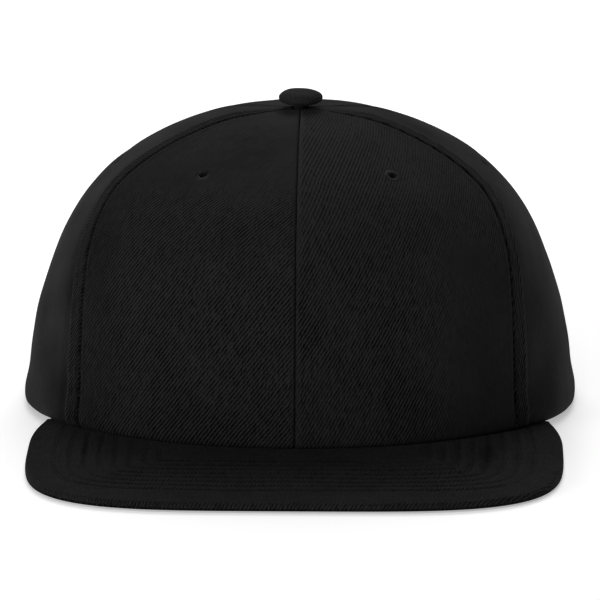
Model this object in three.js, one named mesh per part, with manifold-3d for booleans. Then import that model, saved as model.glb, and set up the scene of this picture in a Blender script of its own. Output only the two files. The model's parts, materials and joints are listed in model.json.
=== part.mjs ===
// A six-panel snapback cap with a flat peak, at its real size, as it lies on a table.
// Millimetres, +Z up. The peak points along -Y, and +X is the wearer's left.
// The crown is a smooth dome described by a table of level sections; each panel is a wall
// of cloth between two seams of that dome, and every other piece takes its place from it.
import * as THREE from "three";
import { mergeVertices } from "three/addons/utils/BufferGeometryUtils.js";
import Module from "manifold-3d";

const wasm = await Module();
wasm.setup();

// Clearances between pieces
const seamGap = 0.3; // between two panels at their seam
const seatGap = 0.3; // between a piece and what it sits on
const liningGap = 0.6; // between the panels and what is sewn inside them

// Crown
const crownHalfWidth = 94.3;
const crownFrontReach = 91;
const crownBackReach = 101;
const apexHeight = 101;
const apexSetback = 3.6; // how far the top lies behind the widest section
const planSquareness = 2.12; // 2 is an ellipse, more is squarer
const panelFlatness = 0.04; // how far each panel flattens between its seams, near the top
const panelWall = 1.8;

// Rim: flat on the table behind rimFlatFrom, rising forwards to the peak, and rolled in
const rimFlatFrom = 20;
const rimFrontLift = 4.55;
const hemHeight = 2.6;
const hemDepth = 0.6;

// Seams: the edges roll in, and the allowance behind the front seam shows as a band
const seamDepth = 0.8;
const seamRoll = 2.2;
const allowanceWidth = 6.2;
const allowanceEdge = 1.2;
const allowanceLift = 0.35;
const backSeamAngle = 118; // degrees from the front

// Peak
const peakThickness = 3.4;
const peakDepth = 67; // from the crown to the tip, on the centre line
const peakHalfWidth = 89;
const peakWidestBehind = 14.5; // its widest place, behind the crown's front
const peakSquareness = 4;
const peakCornerShare = 0.85; // how much of its outline lies ahead of the widest place
const peakHornAngle = 63; // where its ends meet the rim, in degrees from the front
const peakHornOverhang = 0.7;
const peakFlatFrom = 0.84; // share of its depth where it reaches the table
const peakEdgeRound = 1.6;

// Button
const buttonRadius = 7.5;
const buttonHeight = 6;
const buttonSkirt = 2.2;
const buttonStem = 2.2;
const buttonStemDrop = 4;
const stemClearance = 0.8;

// Eyelets
const eyeletRadius = 3.3;
const eyeletHole = 1.2;
const eyeletProud = 0.45;
const frontEyeletRise = 0.858; // shares of the way up the crown
const sideEyeletRise = 0.8;

// Sweatband
const sweatbandHeight = 32;
const sweatbandThickness = 1.2;
const sweatbandFloorGap = 1;

// Opening at the back and its snap strap: two halves, joined where they overlap
const archHalfWidth = 44;
const archHeight = 48;
const strapHeight = 19;
const strapThickness = 1.3;
const strapOverlap = 54;
const strapFloorGap = 1;
const strapRoot = 13; // how far a half reaches in behind its panel
const studPitch = 9.5;
const studCount = 7;
const studRadius = 2.3;
const studHeight = 1.2;
const strapHoleRadius = 2.3;

// Level sections of the crown, from the rim to the top. rise is the share of the height;
// side, front and back are shares of the rim's reach that way; frontSeam is where the seam
// behind the front panels runs, in degrees from the front.
const apexRadius = buttonStem + stemClearance;
const sections = [
  { rise: 0.0, side: 1.0, front: 1.0, back: 1.0, frontSeam: 50.0 },
  { rise: 0.05, side: 1.001, front: 0.998, back: 0.997, frontSeam: 50.3 },
  { rise: 0.12, side: 0.987, front: 0.989, back: 0.984, frontSeam: 50.7 },
  { rise: 0.22, side: 0.975, front: 0.98, back: 0.971, frontSeam: 51.5 },
  { rise: 0.34, side: 0.952, front: 0.961, back: 0.947, frontSeam: 53.0 },
  { rise: 0.47, side: 0.913, front: 0.932, back: 0.907, frontSeam: 55.8 },
  { rise: 0.59, side: 0.864, front: 0.894, back: 0.857, frontSeam: 59.2 },
  { rise: 0.7, side: 0.794, front: 0.832, back: 0.786, frontSeam: 62.8 },
  { rise: 0.79, side: 0.703, front: 0.743, back: 0.696, frontSeam: 66.6 },
  { rise: 0.87, side: 0.571, front: 0.606, back: 0.566, frontSeam: 69.0 },
  { rise: 0.935, side: 0.422, front: 0.444, back: 0.418, frontSeam: 69.4 },
  { rise: 0.98, side: 0.263, front: 0.273, back: 0.259, frontSeam: 68.2 },
  {
    rise: 1.0,
    side: apexRadius / crownHalfWidth,
    front: apexRadius / crownFrontReach,
    back: apexRadius / crownBackReach,
    frontSeam: 66.8,
  },
];

// Fineness of the faceted solids
const panelRows = 14;
const panelMiddleColumns = 6;
const peakColumns = 40;
const sweatbandColumns = 48;
const sweatbandRows = 3;
const strapColumns = 14;
const strapTipColumns = 4;
const strapRows = 2;
const roundSides = 12;
const buttonSides = 24;
const domeSteps = 6;

const { degToRad, clamp, lerp, smoothstep } = THREE.MathUtils;

const splineOf = (name) =>
  new THREE.SplineCurve(sections.map((row, i) => new THREE.Vector2(i, row[name])));
const splines = Object.fromEntries(Object.keys(sections[0]).map((name) => [name, splineOf(name)]));

// The crown's section at height parameter t, 0 at the rim and 1 at the top.
function sectionAt(t) {
  return Object.fromEntries(
    Object.entries(splines).map(([name, spline]) => [name, spline.getPoint(t).y]),
  );
}

// The height parameter at which the crown has risen by that share, found by halving.
function parameterAtRise(share) {
  let [low, high] = [0, 1];
  while (high - low > 1e-6) {
    const middle = (low + high) / 2;
    if (splines.rise.getPoint(middle).y < share) low = middle;
    else high = middle;
  }
  return low;
}

const squared = (value, squareness) =>
  Math.sign(value) * Math.abs(value) ** (2 / squareness);

// How high the rim stands over the table at a distance y from the middle.
function rimHeight(y) {
  return rimFrontLift * smoothstep(-y, -rimFlatFrom, crownFrontReach);
}

// A point of the smooth dome: angle is in radians from the front, towards the wearer's left.
function domePoint(angle, t) {
  const row = sectionAt(t);
  const ahead = squared(Math.cos(angle), planSquareness);
  const reach = ahead > 0 ? crownFrontReach : crownBackReach;
  const share = ahead > 0 ? row.front : row.back;
  const x = crownHalfWidth * row.side * squared(Math.sin(angle), planSquareness);
  const rim = rimHeight(-reach * ahead);
  return new THREE.Vector3(
    x,
    -reach * share * ahead + apexSetback * row.rise,
    lerp(rim, apexHeight, row.rise),
  );
}

// The dome's outward direction, level at the rim so that the rim's edge lies flat.
function domeNormal(angle, t) {
  const step = 1e-3;
  const low = Math.max(t - step, 0);
  const high = Math.min(t + step, 1);
  const around = domePoint(angle + step, t).sub(domePoint(angle - step, t));
  const up = domePoint(angle, high).sub(domePoint(angle, low));
  const normal = around.cross(up);
  if (t === 0) normal.z = 0;
  return normal.normalize();
}

// The seams' angles at height t, once round from the back to the back.
function seamAngles(t) {
  const front = degToRad(splines.frontSeam.getPoint(t).y);
  const back = degToRad(backSeamAngle);
  return [-Math.PI, -back, -front, 0, front, back, Math.PI];
}

// How much the panels draw the dome in at an angle: nothing at a seam, most half way between.
function flattening(angle, t) {
  const seams = seamAngles(t);
  const i = clamp(seams.findIndex((seam) => angle < seam) - 1, 0, seams.length - 2);
  const across = (2 * (angle - seams[i])) / (seams[i + 1] - seams[i]) - 1;
  const rise = splines.rise.getPoint(t).y;
  return panelFlatness * rise ** 2 * (1 - clamp(across, -1, 1) ** 2);
}

// A point of the crown's outer face, moved out along the normal by lift.
function crownPoint(angle, t, lift) {
  const point = domePoint(angle, t);
  const drawnIn = 1 - flattening(angle, t);
  const middle = apexSetback * splines.rise.getPoint(t).y;
  point.x *= drawnIn;
  point.y = middle + (point.y - middle) * drawnIn;
  return point.addScaledVector(domeNormal(angle, t), lift);
}

// A closed mesh from a grid of points with two faces, pointAt(i, j, face): face 0 looks the
// way that i then j turn by the right hand, and face 1 lies behind it.
function shell(columns, rows, pointAt) {
  const points = [];
  const index = [];
  for (const face of [0, 1])
    for (let j = 0; j <= rows; j++)
      for (let i = 0; i <= columns; i++) points.push(...pointAt(i, j, face).toArray());
  const at = (i, j, face) => (face * (rows + 1) + j) * (columns + 1) + i;
  const quad = (a, b, c, d) => index.push(a, b, c, a, c, d);
  for (let j = 0; j < rows; j++)
    for (let i = 0; i < columns; i++) {
      quad(at(i, j, 0), at(i + 1, j, 0), at(i + 1, j + 1, 0), at(i, j + 1, 0));
      quad(at(i, j, 1), at(i, j + 1, 1), at(i + 1, j + 1, 1), at(i + 1, j, 1));
    }
  for (let i = 0; i < columns; i++) {
    quad(at(i, 0, 1), at(i + 1, 0, 1), at(i + 1, 0, 0), at(i, 0, 0));
    quad(at(i, rows, 0), at(i + 1, rows, 0), at(i + 1, rows, 1), at(i, rows, 1));
  }
  for (let j = 0; j < rows; j++) {
    quad(at(0, j, 0), at(0, j + 1, 0), at(0, j + 1, 1), at(0, j, 1));
    quad(at(columns, j, 1), at(columns, j + 1, 1), at(columns, j + 1, 0), at(columns, j, 0));
  }
  return new THREE.BufferGeometry()
    .setAttribute("position", new THREE.Float32BufferAttribute(points, 3))
    .setIndex(index);
}

// Booleans: a three.js geometry in place, as a solid, and back again.
function solidOf(geometry, matrix = new THREE.Matrix4()) {
  const placed = geometry.clone().applyMatrix4(matrix);
  placed.deleteAttribute("normal");
  placed.deleteAttribute("uv");
  const merged = mergeVertices(placed, 1e-4);
  return new wasm.Manifold(
    new wasm.Mesh({
      numProp: 3,
      vertProperties: merged.attributes.position.array,
      triVerts: new Uint32Array(merged.index.array),
    }),
  );
}

function geometryOf(solid) {
  const mesh = solid.getMesh();
  return new THREE.BufferGeometry()
    .setAttribute("position", new THREE.BufferAttribute(mesh.vertProperties, 3))
    .setIndex(new THREE.BufferAttribute(mesh.triVerts, 1));
}

// A place on the crown with its +Y turned to the outward normal, for round pieces.
function outwardPlace(angle, t, lift) {
  const turn = new THREE.Quaternion().setFromUnitVectors(
    new THREE.Vector3(0, 1, 0),
    domeNormal(angle, t),
  );
  return new THREE.Matrix4().compose(
    crownPoint(angle, t, lift),
    turn,
    new THREE.Vector3(1, 1, 1),
  );
}

// Panels. A panel's columns: its rolled edges and allowance bands, then even steps between.
const edgeOffsets = [
  seamGap / 2,
  seamRoll * 0.4,
  seamRoll,
  allowanceWidth,
  allowanceWidth + allowanceEdge,
];

// The lift of a panel's face at a distance from its seam, with or without the band.
function seamLift(distance, scale, hasBand) {
  const rolled = seamDepth * (1 - smoothstep(distance, 0, seamRoll * scale)) ** 2;
  const bandEnd = allowanceWidth * scale;
  const band = 1 - smoothstep(distance, bandEnd, bandEnd + allowanceEdge * scale);
  return scale * ((hasBand ? allowanceLift * band : 0) - rolled);
}

// The heights of a panel's rows: close together at its rolled hem, then even.
const hemTop = parameterAtRise(hemHeight / apexHeight);
const rowHeights = [0, 0.4 * hemTop];
for (let j = 0; j <= panelRows; j++) rowHeights.push(lerp(hemTop, 1, j / panelRows));

// A panel lies between seams number first and first + 1. bands says which of its two
// edges has an allowance band.
function panelGeometry(first, bands) {
  const columns = 2 * (edgeOffsets.length - 1) + panelMiddleColumns;
  const reach = edgeOffsets.at(-1);
  const rows = rowHeights.map((t) => {
    const [from, to] = seamAngles(t).slice(first, first + 2);
    let width = 0;
    for (let k = 0; k < columns; k++)
      width += domePoint(lerp(from, to, k / columns), t).distanceTo(
        domePoint(lerp(from, to, (k + 1) / columns), t),
      );
    const scale = Math.min(1, width / (3 * reach));
    const edge = edgeOffsets.map((d, k) => (k ? d * scale : d));
    const last = edge.length - 1;
    const distances = Array.from({ length: columns + 1 }, (_, i) => {
      if (i <= last) return edge[i];
      if (i >= columns - last) return width - edge[columns - i];
      return lerp(edge[last], width - edge[last], (i - last) / panelMiddleColumns);
    });
    const hem = hemDepth * (1 - Math.min(1, t / hemTop)) ** 2;
    return { t, from, to, width, scale, distances, hem };
  });
  return shell(columns, rows.length - 1, (i, j, face) => {
    const { t, from, to, width, scale, distances, hem } = rows[j];
    const distance = distances[i];
    const isFirstHalf = distance < width / 2;
    const lift = seamLift(
      isFirstHalf ? distance : width - distance,
      scale,
      isFirstHalf ? bands[0] : bands[1],
    );
    return crownPoint(lerp(from, to, distance / width), t, face ? -panelWall : lift - hem);
  });
}

// Where a panel's eyelet sits: on its centre line, sunk to the middle of the wall.
function eyeletPlace(first) {
  const isFront = first === 2 || first === 3;
  const t = parameterAtRise(isFront ? frontEyeletRise : sideEyeletRise);
  const [from, to] = seamAngles(t).slice(first, first + 2);
  return outwardPlace((from + to) / 2, t, -panelWall / 2);
}

function eyeletCutter(first) {
  const length = 6 * panelWall;
  const cutter = new THREE.CylinderGeometry(
    eyeletRadius + seatGap,
    eyeletRadius + seatGap,
    length,
    roundSides,
  );
  return solidOf(cutter, eyeletPlace(first));
}

// The opening at the back: an arch through both back panels, open at the rim.
function archCutter() {
  const below = 10;
  const shape = new THREE.Shape();
  shape.moveTo(-archHalfWidth, -below);
  shape.lineTo(archHalfWidth, -below);
  shape.lineTo(archHalfWidth, 0);
  shape.absellipse(0, 0, archHalfWidth, archHeight, 0, Math.PI, false, 0);
  const geometry = new THREE.ExtrudeGeometry(shape, {
    depth: crownBackReach,
    bevelEnabled: false,
    curveSegments: 2 * roundSides,
  });
  const upright = new THREE.Matrix4().makeRotationX(Math.PI / 2);
  upright.setPosition(0, 1.5 * crownBackReach, 0);
  return solidOf(geometry, upright);
}

function panelSolid(first, bands) {
  const panel = solidOf(panelGeometry(first, bands)).subtract(eyeletCutter(first));
  const touchesBack = first === 0 || first === 5;
  return touchesBack ? panel.subtract(archCutter()) : panel;
}

// An eyelet: a worked ring set through its panel, a little proud of both faces.
function eyeletGeometry() {
  const half = panelWall / 2 + eyeletProud;
  const round = eyeletProud;
  const profile = [
    [eyeletHole, -half + round],
    [eyeletHole + round, -half],
    [eyeletRadius - round, -half],
    [eyeletRadius, -half + round],
    [eyeletRadius, half - round],
    [eyeletRadius - round, half],
    [eyeletHole + round, half],
    [eyeletHole, half - round],
    [eyeletHole, -half + round],
  ];
  return new THREE.LatheGeometry(
    profile.map(([r, y]) => new THREE.Vector2(r, y)),
    roundSides,
  );
}

// Button: a domed disc on a short stem that drops through the gap at the panels' tips.
function buttonGeometry() {
  const dome = Array.from({ length: domeSteps + 1 }, (_, k) => {
    const turn = (k / domeSteps) * (Math.PI / 2);
    const up = buttonSkirt + (buttonHeight - buttonSkirt) * Math.sin(turn);
    return [buttonRadius * Math.cos(turn), up];
  });
  dome.at(-1)[0] = 0;
  const under = [
    [0, -buttonStemDrop],
    [buttonStem, -buttonStemDrop],
    [buttonStem, 0],
    [buttonRadius * 0.9, 0],
    [buttonRadius, buttonSkirt * 0.4],
  ];
  return new THREE.LatheGeometry(
    [...under, ...dome].map(([r, y]) => new THREE.Vector2(r, y)),
    buttonSides,
  );
}

// Peak: ruled from the foot of the crown's wall to its outer edge. side runs from -1 to 1
// between its horns, and depth from 0 at the crown to 1 at the edge.
function peakInner(side) {
  return crownPoint(side * degToRad(peakHornAngle), 0, -panelWall);
}

// The outline: straight-sided from the horns to the widest place, then a squarish corner.
function peakOuter(side) {
  const horn = crownPoint(degToRad(peakHornAngle), 0, peakHornOverhang);
  const widest = -crownFrontReach + peakWidestBehind;
  const tip = -crownFrontReach - peakDepth;
  const along = Math.abs(side);
  const behind = (along - peakCornerShare) / (1 - peakCornerShare);
  if (behind > 0) {
    const x = lerp(peakHalfWidth, horn.x, behind ** 2);
    return new THREE.Vector3(Math.sign(side) * x, lerp(widest, horn.y, behind), 0);
  }
  const turn = smoothstep(along, 0, peakCornerShare) * (Math.PI / 2);
  const x = peakHalfWidth * squared(Math.sin(turn), peakSquareness);
  const y = lerp(widest, tip, squared(Math.cos(turn), peakSquareness));
  return new THREE.Vector3(Math.sign(side) * x, y, 0);
}

// The peak's rows from the crown outwards: first shares of the way to the rounded edge,
// then the edge, as insets in edge radii. fullness is the share of the full thickness.
const peakRows = [
  { share: 0, inset: 0, fullness: 1 },
  { share: peakFlatFrom / 3, inset: 0, fullness: 1 },
  { share: (2 * peakFlatFrom) / 3, inset: 0, fullness: 1 },
  { share: peakFlatFrom, inset: 0, fullness: 1 },
  { share: 1, inset: 1, fullness: 1 },
  { share: 1, inset: 0.35, fullness: 0.75 },
  { share: 1, inset: 0, fullness: 0.25 },
];

function peakGeometry() {
  return shell(peakColumns, peakRows.length - 1, (i, j, face) => {
    const side = (2 * i) / peakColumns - 1;
    const from = peakInner(side);
    const to = peakOuter(side);
    const seat = crownPoint(side * degToRad(peakHornAngle), 0, 0).z - seatGap;
    const thickness = Math.min(peakThickness, seat);
    const length = Math.hypot(to.x - from.x, to.y - from.y);
    const edge = Math.min(peakEdgeRound / length, 0.3);
    const { share, inset, fullness } = peakRows[j];
    const depth = share < 1 ? Math.min(share, 1 - 1.2 * edge) : 1 - inset * edge;
    const top = lerp(seat, thickness, Math.min(1, depth / peakFlatFrom));
    const up = (face ? 0.5 : -0.5) * thickness * fullness;
    return new THREE.Vector3(
      lerp(from.x, to.x, depth),
      lerp(from.y, to.y, depth),
      top - thickness / 2 + up,
    );
  });
}

// Bands inside the crown. A point of one is set by its angle, its height over the rim and
// how deep it lies, measured level, inside the crown's outer face.
function bandPoint(angle, height, depth) {
  const rim = domePoint(angle, 0).z;
  const t = parameterAtRise(height / (apexHeight - rim));
  return crownPoint(angle, t, 0).addScaledVector(domeNormal(angle, 0), -depth);
}

// The angle that lies a distance from the middle of the back, measured along the rim.
function angleAtArc(arc) {
  const step = degToRad(0.25);
  let angle = 0;
  let from = 0;
  let left = Math.abs(arc);
  while (left > 0) {
    from = angle;
    angle += step;
    const length = domePoint(Math.PI - from, 0).distanceTo(domePoint(Math.PI - angle, 0));
    if (length >= left) angle = from + (step * left) / length;
    left -= length;
  }
  return (arc < 0 ? -1 : 1) * (Math.PI - angle);
}

// Where the arch meets the rim, and where the strap's halves end behind the panels.
const archAngle = Math.asin((archHalfWidth / crownHalfWidth) ** (planSquareness / 2));
const archArc = (() => {
  let [low, high] = [0, Math.PI * crownBackReach];
  while (high - low > 1e-4) {
    const middle = (low + high) / 2;
    if (Math.PI - angleAtArc(middle) < archAngle) low = middle;
    else high = middle;
  }
  return low;
})();
const rootArc = archArc + strapRoot;

function sweatbandGeometry() {
  const end = angleAtArc(rootArc + 2 * seatGap);
  return shell(sweatbandColumns, sweatbandRows, (i, j, face) => {
    const angle = lerp(-end, end, i / sweatbandColumns);
    const height = lerp(sweatbandFloorGap, sweatbandHeight, j / sweatbandRows);
    const depth = panelWall + liningGap + (face ? sweatbandThickness : 0);
    return bandPoint(angle, height, depth);
  });
}

// Half of the strap, from behind the panel on one side (-1 or 1) to its round tip, which
// lies past the middle. depth is that of its outer face.
function strapHalf(side, depth, thickness) {
  const radius = strapHeight / 2;
  const bend = radius - strapOverlap / 2;
  const straight = Array.from({ length: strapColumns }, (_, k) => ({
    arc: lerp(rootArc, bend, k / strapColumns),
    half: radius,
  }));
  const tip = Array.from({ length: strapTipColumns + 1 }, (_, k) => {
    const turn = degToRad((75 * k) / strapTipColumns);
    return { arc: bend - radius * Math.sin(turn), half: radius * Math.cos(turn) };
  });
  const stations = [...straight, ...tip];
  if (side < 0) stations.reverse();
  return shell(stations.length - 1, strapRows, (i, j, face) => {
    const { arc, half } = stations[i];
    const height = strapFloorGap + radius + lerp(-half, half, j / strapRows);
    return bandPoint(angleAtArc(side * arc), height, depth + (face ? thickness : 0));
  });
}

// A round peg or cutter square to the strap, between two depths.
function strapPeg(arc, radius, fromDepth, toDepth) {
  const length = fromDepth - toDepth;
  const peg = new THREE.CylinderGeometry(radius, radius, length, roundSides);
  const angle = angleAtArc(arc);
  const middle = (fromDepth + toDepth) / 2;
  const turn = new THREE.Quaternion().setFromUnitVectors(
    new THREE.Vector3(0, 1, 0),
    domeNormal(angle, 0),
  );
  const place = new THREE.Matrix4().compose(
    bandPoint(angle, strapFloorGap + strapHeight / 2, middle),
    turn,
    new THREE.Vector3(1, 1, 1),
  );
  return solidOf(peg, place);
}

// The studs stand on the inner half, which comes from the wearer's left, and the nearest
// ones show through the outer half. The outer half has the holes that stay free.
function strapSolid() {
  const outerDepth = panelWall + liningGap;
  const innerDepth = outerDepth + strapThickness;
  const weld = strapThickness / 4;
  const inner = strapHalf(1, innerDepth - weld, strapThickness + weld);
  let strap = solidOf(strapHalf(-1, outerDepth, strapThickness)).add(solidOf(inner));
  const snapped = Math.round(strapOverlap / studPitch) - 1;
  for (let k = 0; k < studCount; k++) {
    const arc = (k - (snapped - 1) / 2) * studPitch;
    const top = outerDepth - studHeight;
    strap = strap.add(strapPeg(arc, studRadius, innerDepth + weld, top));
    if (k >= snapped)
      strap = strap.subtract(strapPeg(-arc, strapHoleRadius, innerDepth + weld, top));
  }
  return strap;
}

// The cloth and plastic, each piece with a material of its own.
const blackCloth = () =>
  new THREE.MeshStandardMaterial({ color: 0x1b1b1b, roughness: 0.9, metalness: 0 });
const blackThread = () =>
  new THREE.MeshStandardMaterial({ color: 0x202020, roughness: 0.8, metalness: 0 });
const blackPlastic = () =>
  new THREE.MeshStandardMaterial({ color: 0x161616, roughness: 0.45, metalness: 0 });

const crown = new THREE.Group();

function addPiece(name, geometry, material, place = new THREE.Matrix4()) {
  const mesh = new THREE.Mesh(geometry, material);
  mesh.name = name;
  mesh.applyMatrix4(place);
  crown.add(mesh);
}

// Panels in order round the crown from the back. Left and right are the wearer's.
const panels = [
  { name: "back_right", bands: [false, false] },
  { name: "side_right", bands: [false, true] },
  { name: "front_right", bands: [false, false] },
  { name: "front_left", bands: [false, false] },
  { name: "side_left", bands: [true, false] },
  { name: "back_left", bands: [false, false] },
];
panels.forEach(({ name, bands }, k) => {
  addPiece(`${name}_panel`, geometryOf(panelSolid(k, bands)), blackCloth());
  addPiece(`${name}_eyelet`, eyeletGeometry(), blackThread(), eyeletPlace(k));
});

const buttonPlace = new THREE.Matrix4().makeRotationX(Math.PI / 2);
buttonPlace.setPosition(0, apexSetback, apexHeight + seatGap);
addPiece("top_button", buttonGeometry(), blackCloth(), buttonPlace);
addPiece("peak", peakGeometry(), blackCloth());
addPiece("sweatband", sweatbandGeometry(), blackCloth());
addPiece("snap_strap", geometryOf(strapSolid()), blackPlastic());

// The origin is the middle of the whole cap in plan, on the table.
const bounds = new THREE.Box3().setFromObject(crown);
const middle = bounds.getCenter(new THREE.Vector3());
crown.position.set(-middle.x, -middle.y, -bounds.min.z);

const group = new THREE.Group();
group.add(crown);

export default group;
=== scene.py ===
"""A black six-panel snapback cap with a flat peak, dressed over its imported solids.

Lengths are millimetres until a mesh is made. The crown is worked out about its own upright
axis, with the peak along -Y and the wearer's left along +X, and every piece is then moved
back along Y by the same step that centred the solids.
"""

import json
import math

import bpy
import numpy as np
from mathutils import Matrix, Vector

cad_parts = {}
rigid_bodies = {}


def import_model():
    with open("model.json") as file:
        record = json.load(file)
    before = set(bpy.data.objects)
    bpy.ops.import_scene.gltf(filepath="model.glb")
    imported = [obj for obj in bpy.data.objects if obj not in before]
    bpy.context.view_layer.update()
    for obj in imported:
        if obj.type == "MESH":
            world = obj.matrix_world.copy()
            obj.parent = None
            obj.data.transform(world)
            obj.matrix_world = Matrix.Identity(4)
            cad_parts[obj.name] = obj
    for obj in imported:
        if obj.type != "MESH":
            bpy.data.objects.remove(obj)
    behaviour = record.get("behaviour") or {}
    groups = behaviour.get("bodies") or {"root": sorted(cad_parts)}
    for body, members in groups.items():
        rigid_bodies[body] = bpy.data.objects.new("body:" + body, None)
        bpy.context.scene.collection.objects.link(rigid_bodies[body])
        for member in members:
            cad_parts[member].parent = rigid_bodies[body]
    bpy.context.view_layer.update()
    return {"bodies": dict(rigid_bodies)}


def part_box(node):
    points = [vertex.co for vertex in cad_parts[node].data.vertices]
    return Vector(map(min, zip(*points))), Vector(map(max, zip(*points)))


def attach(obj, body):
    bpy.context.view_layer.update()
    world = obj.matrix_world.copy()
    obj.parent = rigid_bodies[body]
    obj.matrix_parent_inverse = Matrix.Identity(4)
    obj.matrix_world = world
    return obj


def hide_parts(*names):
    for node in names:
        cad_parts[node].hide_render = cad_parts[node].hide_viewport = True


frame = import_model()
BODY = next(iter(frame["bodies"]))

# Sizes shared with the solids
SEAM_GAP = 0.3
SEAT_GAP = 0.3
LINING_GAP = 0.6
CROWN_HALF_WIDTH = 94.3
CROWN_FRONT = 91.0
CROWN_BACK = 101.0
APEX_HEIGHT = 101.0
APEX_SETBACK = 3.6
PLAN_SQUARENESS = 2.12
PANEL_FLATNESS = 0.04
PANEL_WALL = 1.8
RIM_FLAT_FROM = 20.0
RIM_FRONT_LIFT = 4.55
HEM_HEIGHT = 2.6
HEM_DEPTH = 0.6
SEAM_DEPTH = 0.8
ALLOWANCE_WIDTH = 6.2
ALLOWANCE_EDGE = 1.2
ALLOWANCE_LIFT = 0.35
BACK_SEAM = math.radians(118)
PEAK_THICKNESS = 3.4
PEAK_DEPTH = 67.0
PEAK_HALF_WIDTH = 89.0
PEAK_WIDEST_BEHIND = 14.5
PEAK_SQUARENESS = 4.0
PEAK_CORNER_SHARE = 0.85
PEAK_HORN_ANGLE = math.radians(63)
PEAK_HORN_OVERHANG = 0.7
PEAK_FLAT_FROM = 0.84
PEAK_EDGE_ROUND = 1.6
BUTTON_RADIUS = 7.5
BUTTON_HEIGHT = 6.0
BUTTON_STEM = 2.2
BUTTON_STEM_DROP = 4.0
EYELET_RADIUS = 3.3
EYELET_PROUD = 0.45
FRONT_EYELET_RISE = 0.858
SIDE_EYELET_RISE = 0.8
SWEATBAND_HEIGHT = 32.0
SWEATBAND_THICKNESS = 1.2
FLOOR_GAP = 1.0
ARCH_HALF_WIDTH = 44.0
ARCH_HEIGHT = 48.0
STRAP_HEIGHT = 19.0
STRAP_THICKNESS = 1.3
STRAP_OVERLAP = 54.0
STRAP_ROOT = 13.0
STUD_PITCH = 9.5
STUD_COUNT = 7
STUD_HEIGHT = 1.2
STRAP_HOLE = 2.3
STEM_CLEARANCE = 0.8

# Level sections of the crown, from the rim to the top: shares of the height, and of the
# rim's reach to the side, front and back, and the angle of the seam behind the front panels
APEX_RADIUS = BUTTON_STEM + STEM_CLEARANCE
SECTIONS = {
    "rise": [0, 0.05, 0.12, 0.22, 0.34, 0.47, 0.59, 0.7, 0.79, 0.87, 0.935, 0.98, 1],
    "side": [1, 1.001, 0.987, 0.975, 0.952, 0.913, 0.864, 0.794, 0.703, 0.571, 0.422,
             0.263, APEX_RADIUS / CROWN_HALF_WIDTH],
    "front": [1, 0.998, 0.989, 0.98, 0.961, 0.932, 0.894, 0.832, 0.743, 0.606, 0.444,
              0.273, APEX_RADIUS / CROWN_FRONT],
    "back": [1, 0.997, 0.984, 0.971, 0.947, 0.907, 0.857, 0.786, 0.696, 0.566, 0.418,
             0.259, APEX_RADIUS / CROWN_BACK],
    "seam": [50.0, 50.3, 50.7, 51.5, 53.0, 55.8, 59.2, 62.8, 66.6, 69.0, 69.4, 68.2, 66.8],
}
SECTIONS = {name: np.array(values, float) for name, values in SECTIONS.items()}

# Stitching
STITCH_PITCH = 3.1
STITCH_FILL = 0.8  # the share of its pitch that a stitch covers
SEAM_STITCH_PITCH = 2.1
ARCH_STITCH_INSET = 5.0  # from the edge of the opening at the back
PEAK_ROWS = np.array([16.8, 21.9, 26.9, 31.9, 37.0, 42.0, 47.0, 51.7])
PEAK_ROW_SPREAD = 7.4  # they lie this much nearer to the edge at the sides than in front
PEAK_CREASE = (-69.5, -88.0)  # where one row is drawn in hard
PEAK_DENT = (64.3, -95.0)  # where the peak was once pressed

PALE_NARROWS_UNDER = 22.0  # the width of a panel that still has its pale places in full

# The front eyelets sit this far to the side of the middle of their panels, by seam number
EYELET_ASIDE = {2: -1.6, 3: 1.6}

SWEATBAND_RADIUS = 92.0  # about, for lengths along it

MM = 0.001
BACK_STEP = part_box("peak")[0][1] / MM + CROWN_FRONT + PEAK_DEPTH


def smoothstep(value, low, high):
    """3x^2 - 2x^3, where x runs from 0 at low to 1 at high."""
    x = np.clip((value - low) / (high - low), 0, 1)
    return x * x * (3 - 2 * x)


def lerp(a, b, share):
    """a + (b - a) times share."""
    return a + (b - a) * share


def bell(value, middle, width):
    """exp(-((value - middle) / width)^2), a bump of height 1."""
    return np.exp(-(((value - middle) / width) ** 2))


def unit(vectors):
    """Each vector over its own length."""
    return vectors / np.maximum(np.linalg.norm(vectors, axis=-1, keepdims=True), 1e-12)


def length_along(points):
    """How far each point lies along the path through them, from 0."""
    return np.concatenate([[0], np.cumsum(np.linalg.norm(np.diff(points, axis=0), axis=1))])


def ripple(u, v, length, seed):
    """A slow unevenness between about -1 and 1: the mean of five sine waves.

    Their lengths lie around the given one, and their directions and phases come from seed.
    """
    rng = np.random.default_rng(seed)
    total = np.zeros(np.broadcast(u, v).shape)
    for turn, phase, stretch in rng.uniform(size=(5, 3)):
        k = 2 * math.pi / (length * (0.7 + 0.8 * stretch))
        across = u * math.cos(turn * math.pi) + v * math.sin(turn * math.pi)
        total += np.sin(k * across + 2 * math.pi * phase)
    return total / 3


# The crown's surface


def section(name, t):
    """A column of the table at t from 0 to 1: a Catmull-Rom spline through its values."""
    values = SECTIONS[name]
    last = len(values) - 1
    place = np.clip(t, 0, 1) * last
    i = np.minimum(np.floor(place).astype(int), last - 1)
    w = place - i
    a, b = values[np.maximum(i - 1, 0)], values[i]
    c, d = values[i + 1], values[np.minimum(i + 2, last)]
    from_slope, to_slope = (c - a) / 2, (d - b) / 2
    cubic = 2 * b - 2 * c + from_slope + to_slope
    square = -3 * b + 3 * c - 2 * from_slope - to_slope
    return ((cubic * w + square) * w + from_slope) * w + b


FINE_T = np.linspace(0, 1, 4001)
FINE_RISE = section("rise", FINE_T)


def t_at_rise(share):
    """The height parameter at which the crown has risen by that share."""
    return np.interp(share, FINE_RISE, FINE_T)


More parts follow.
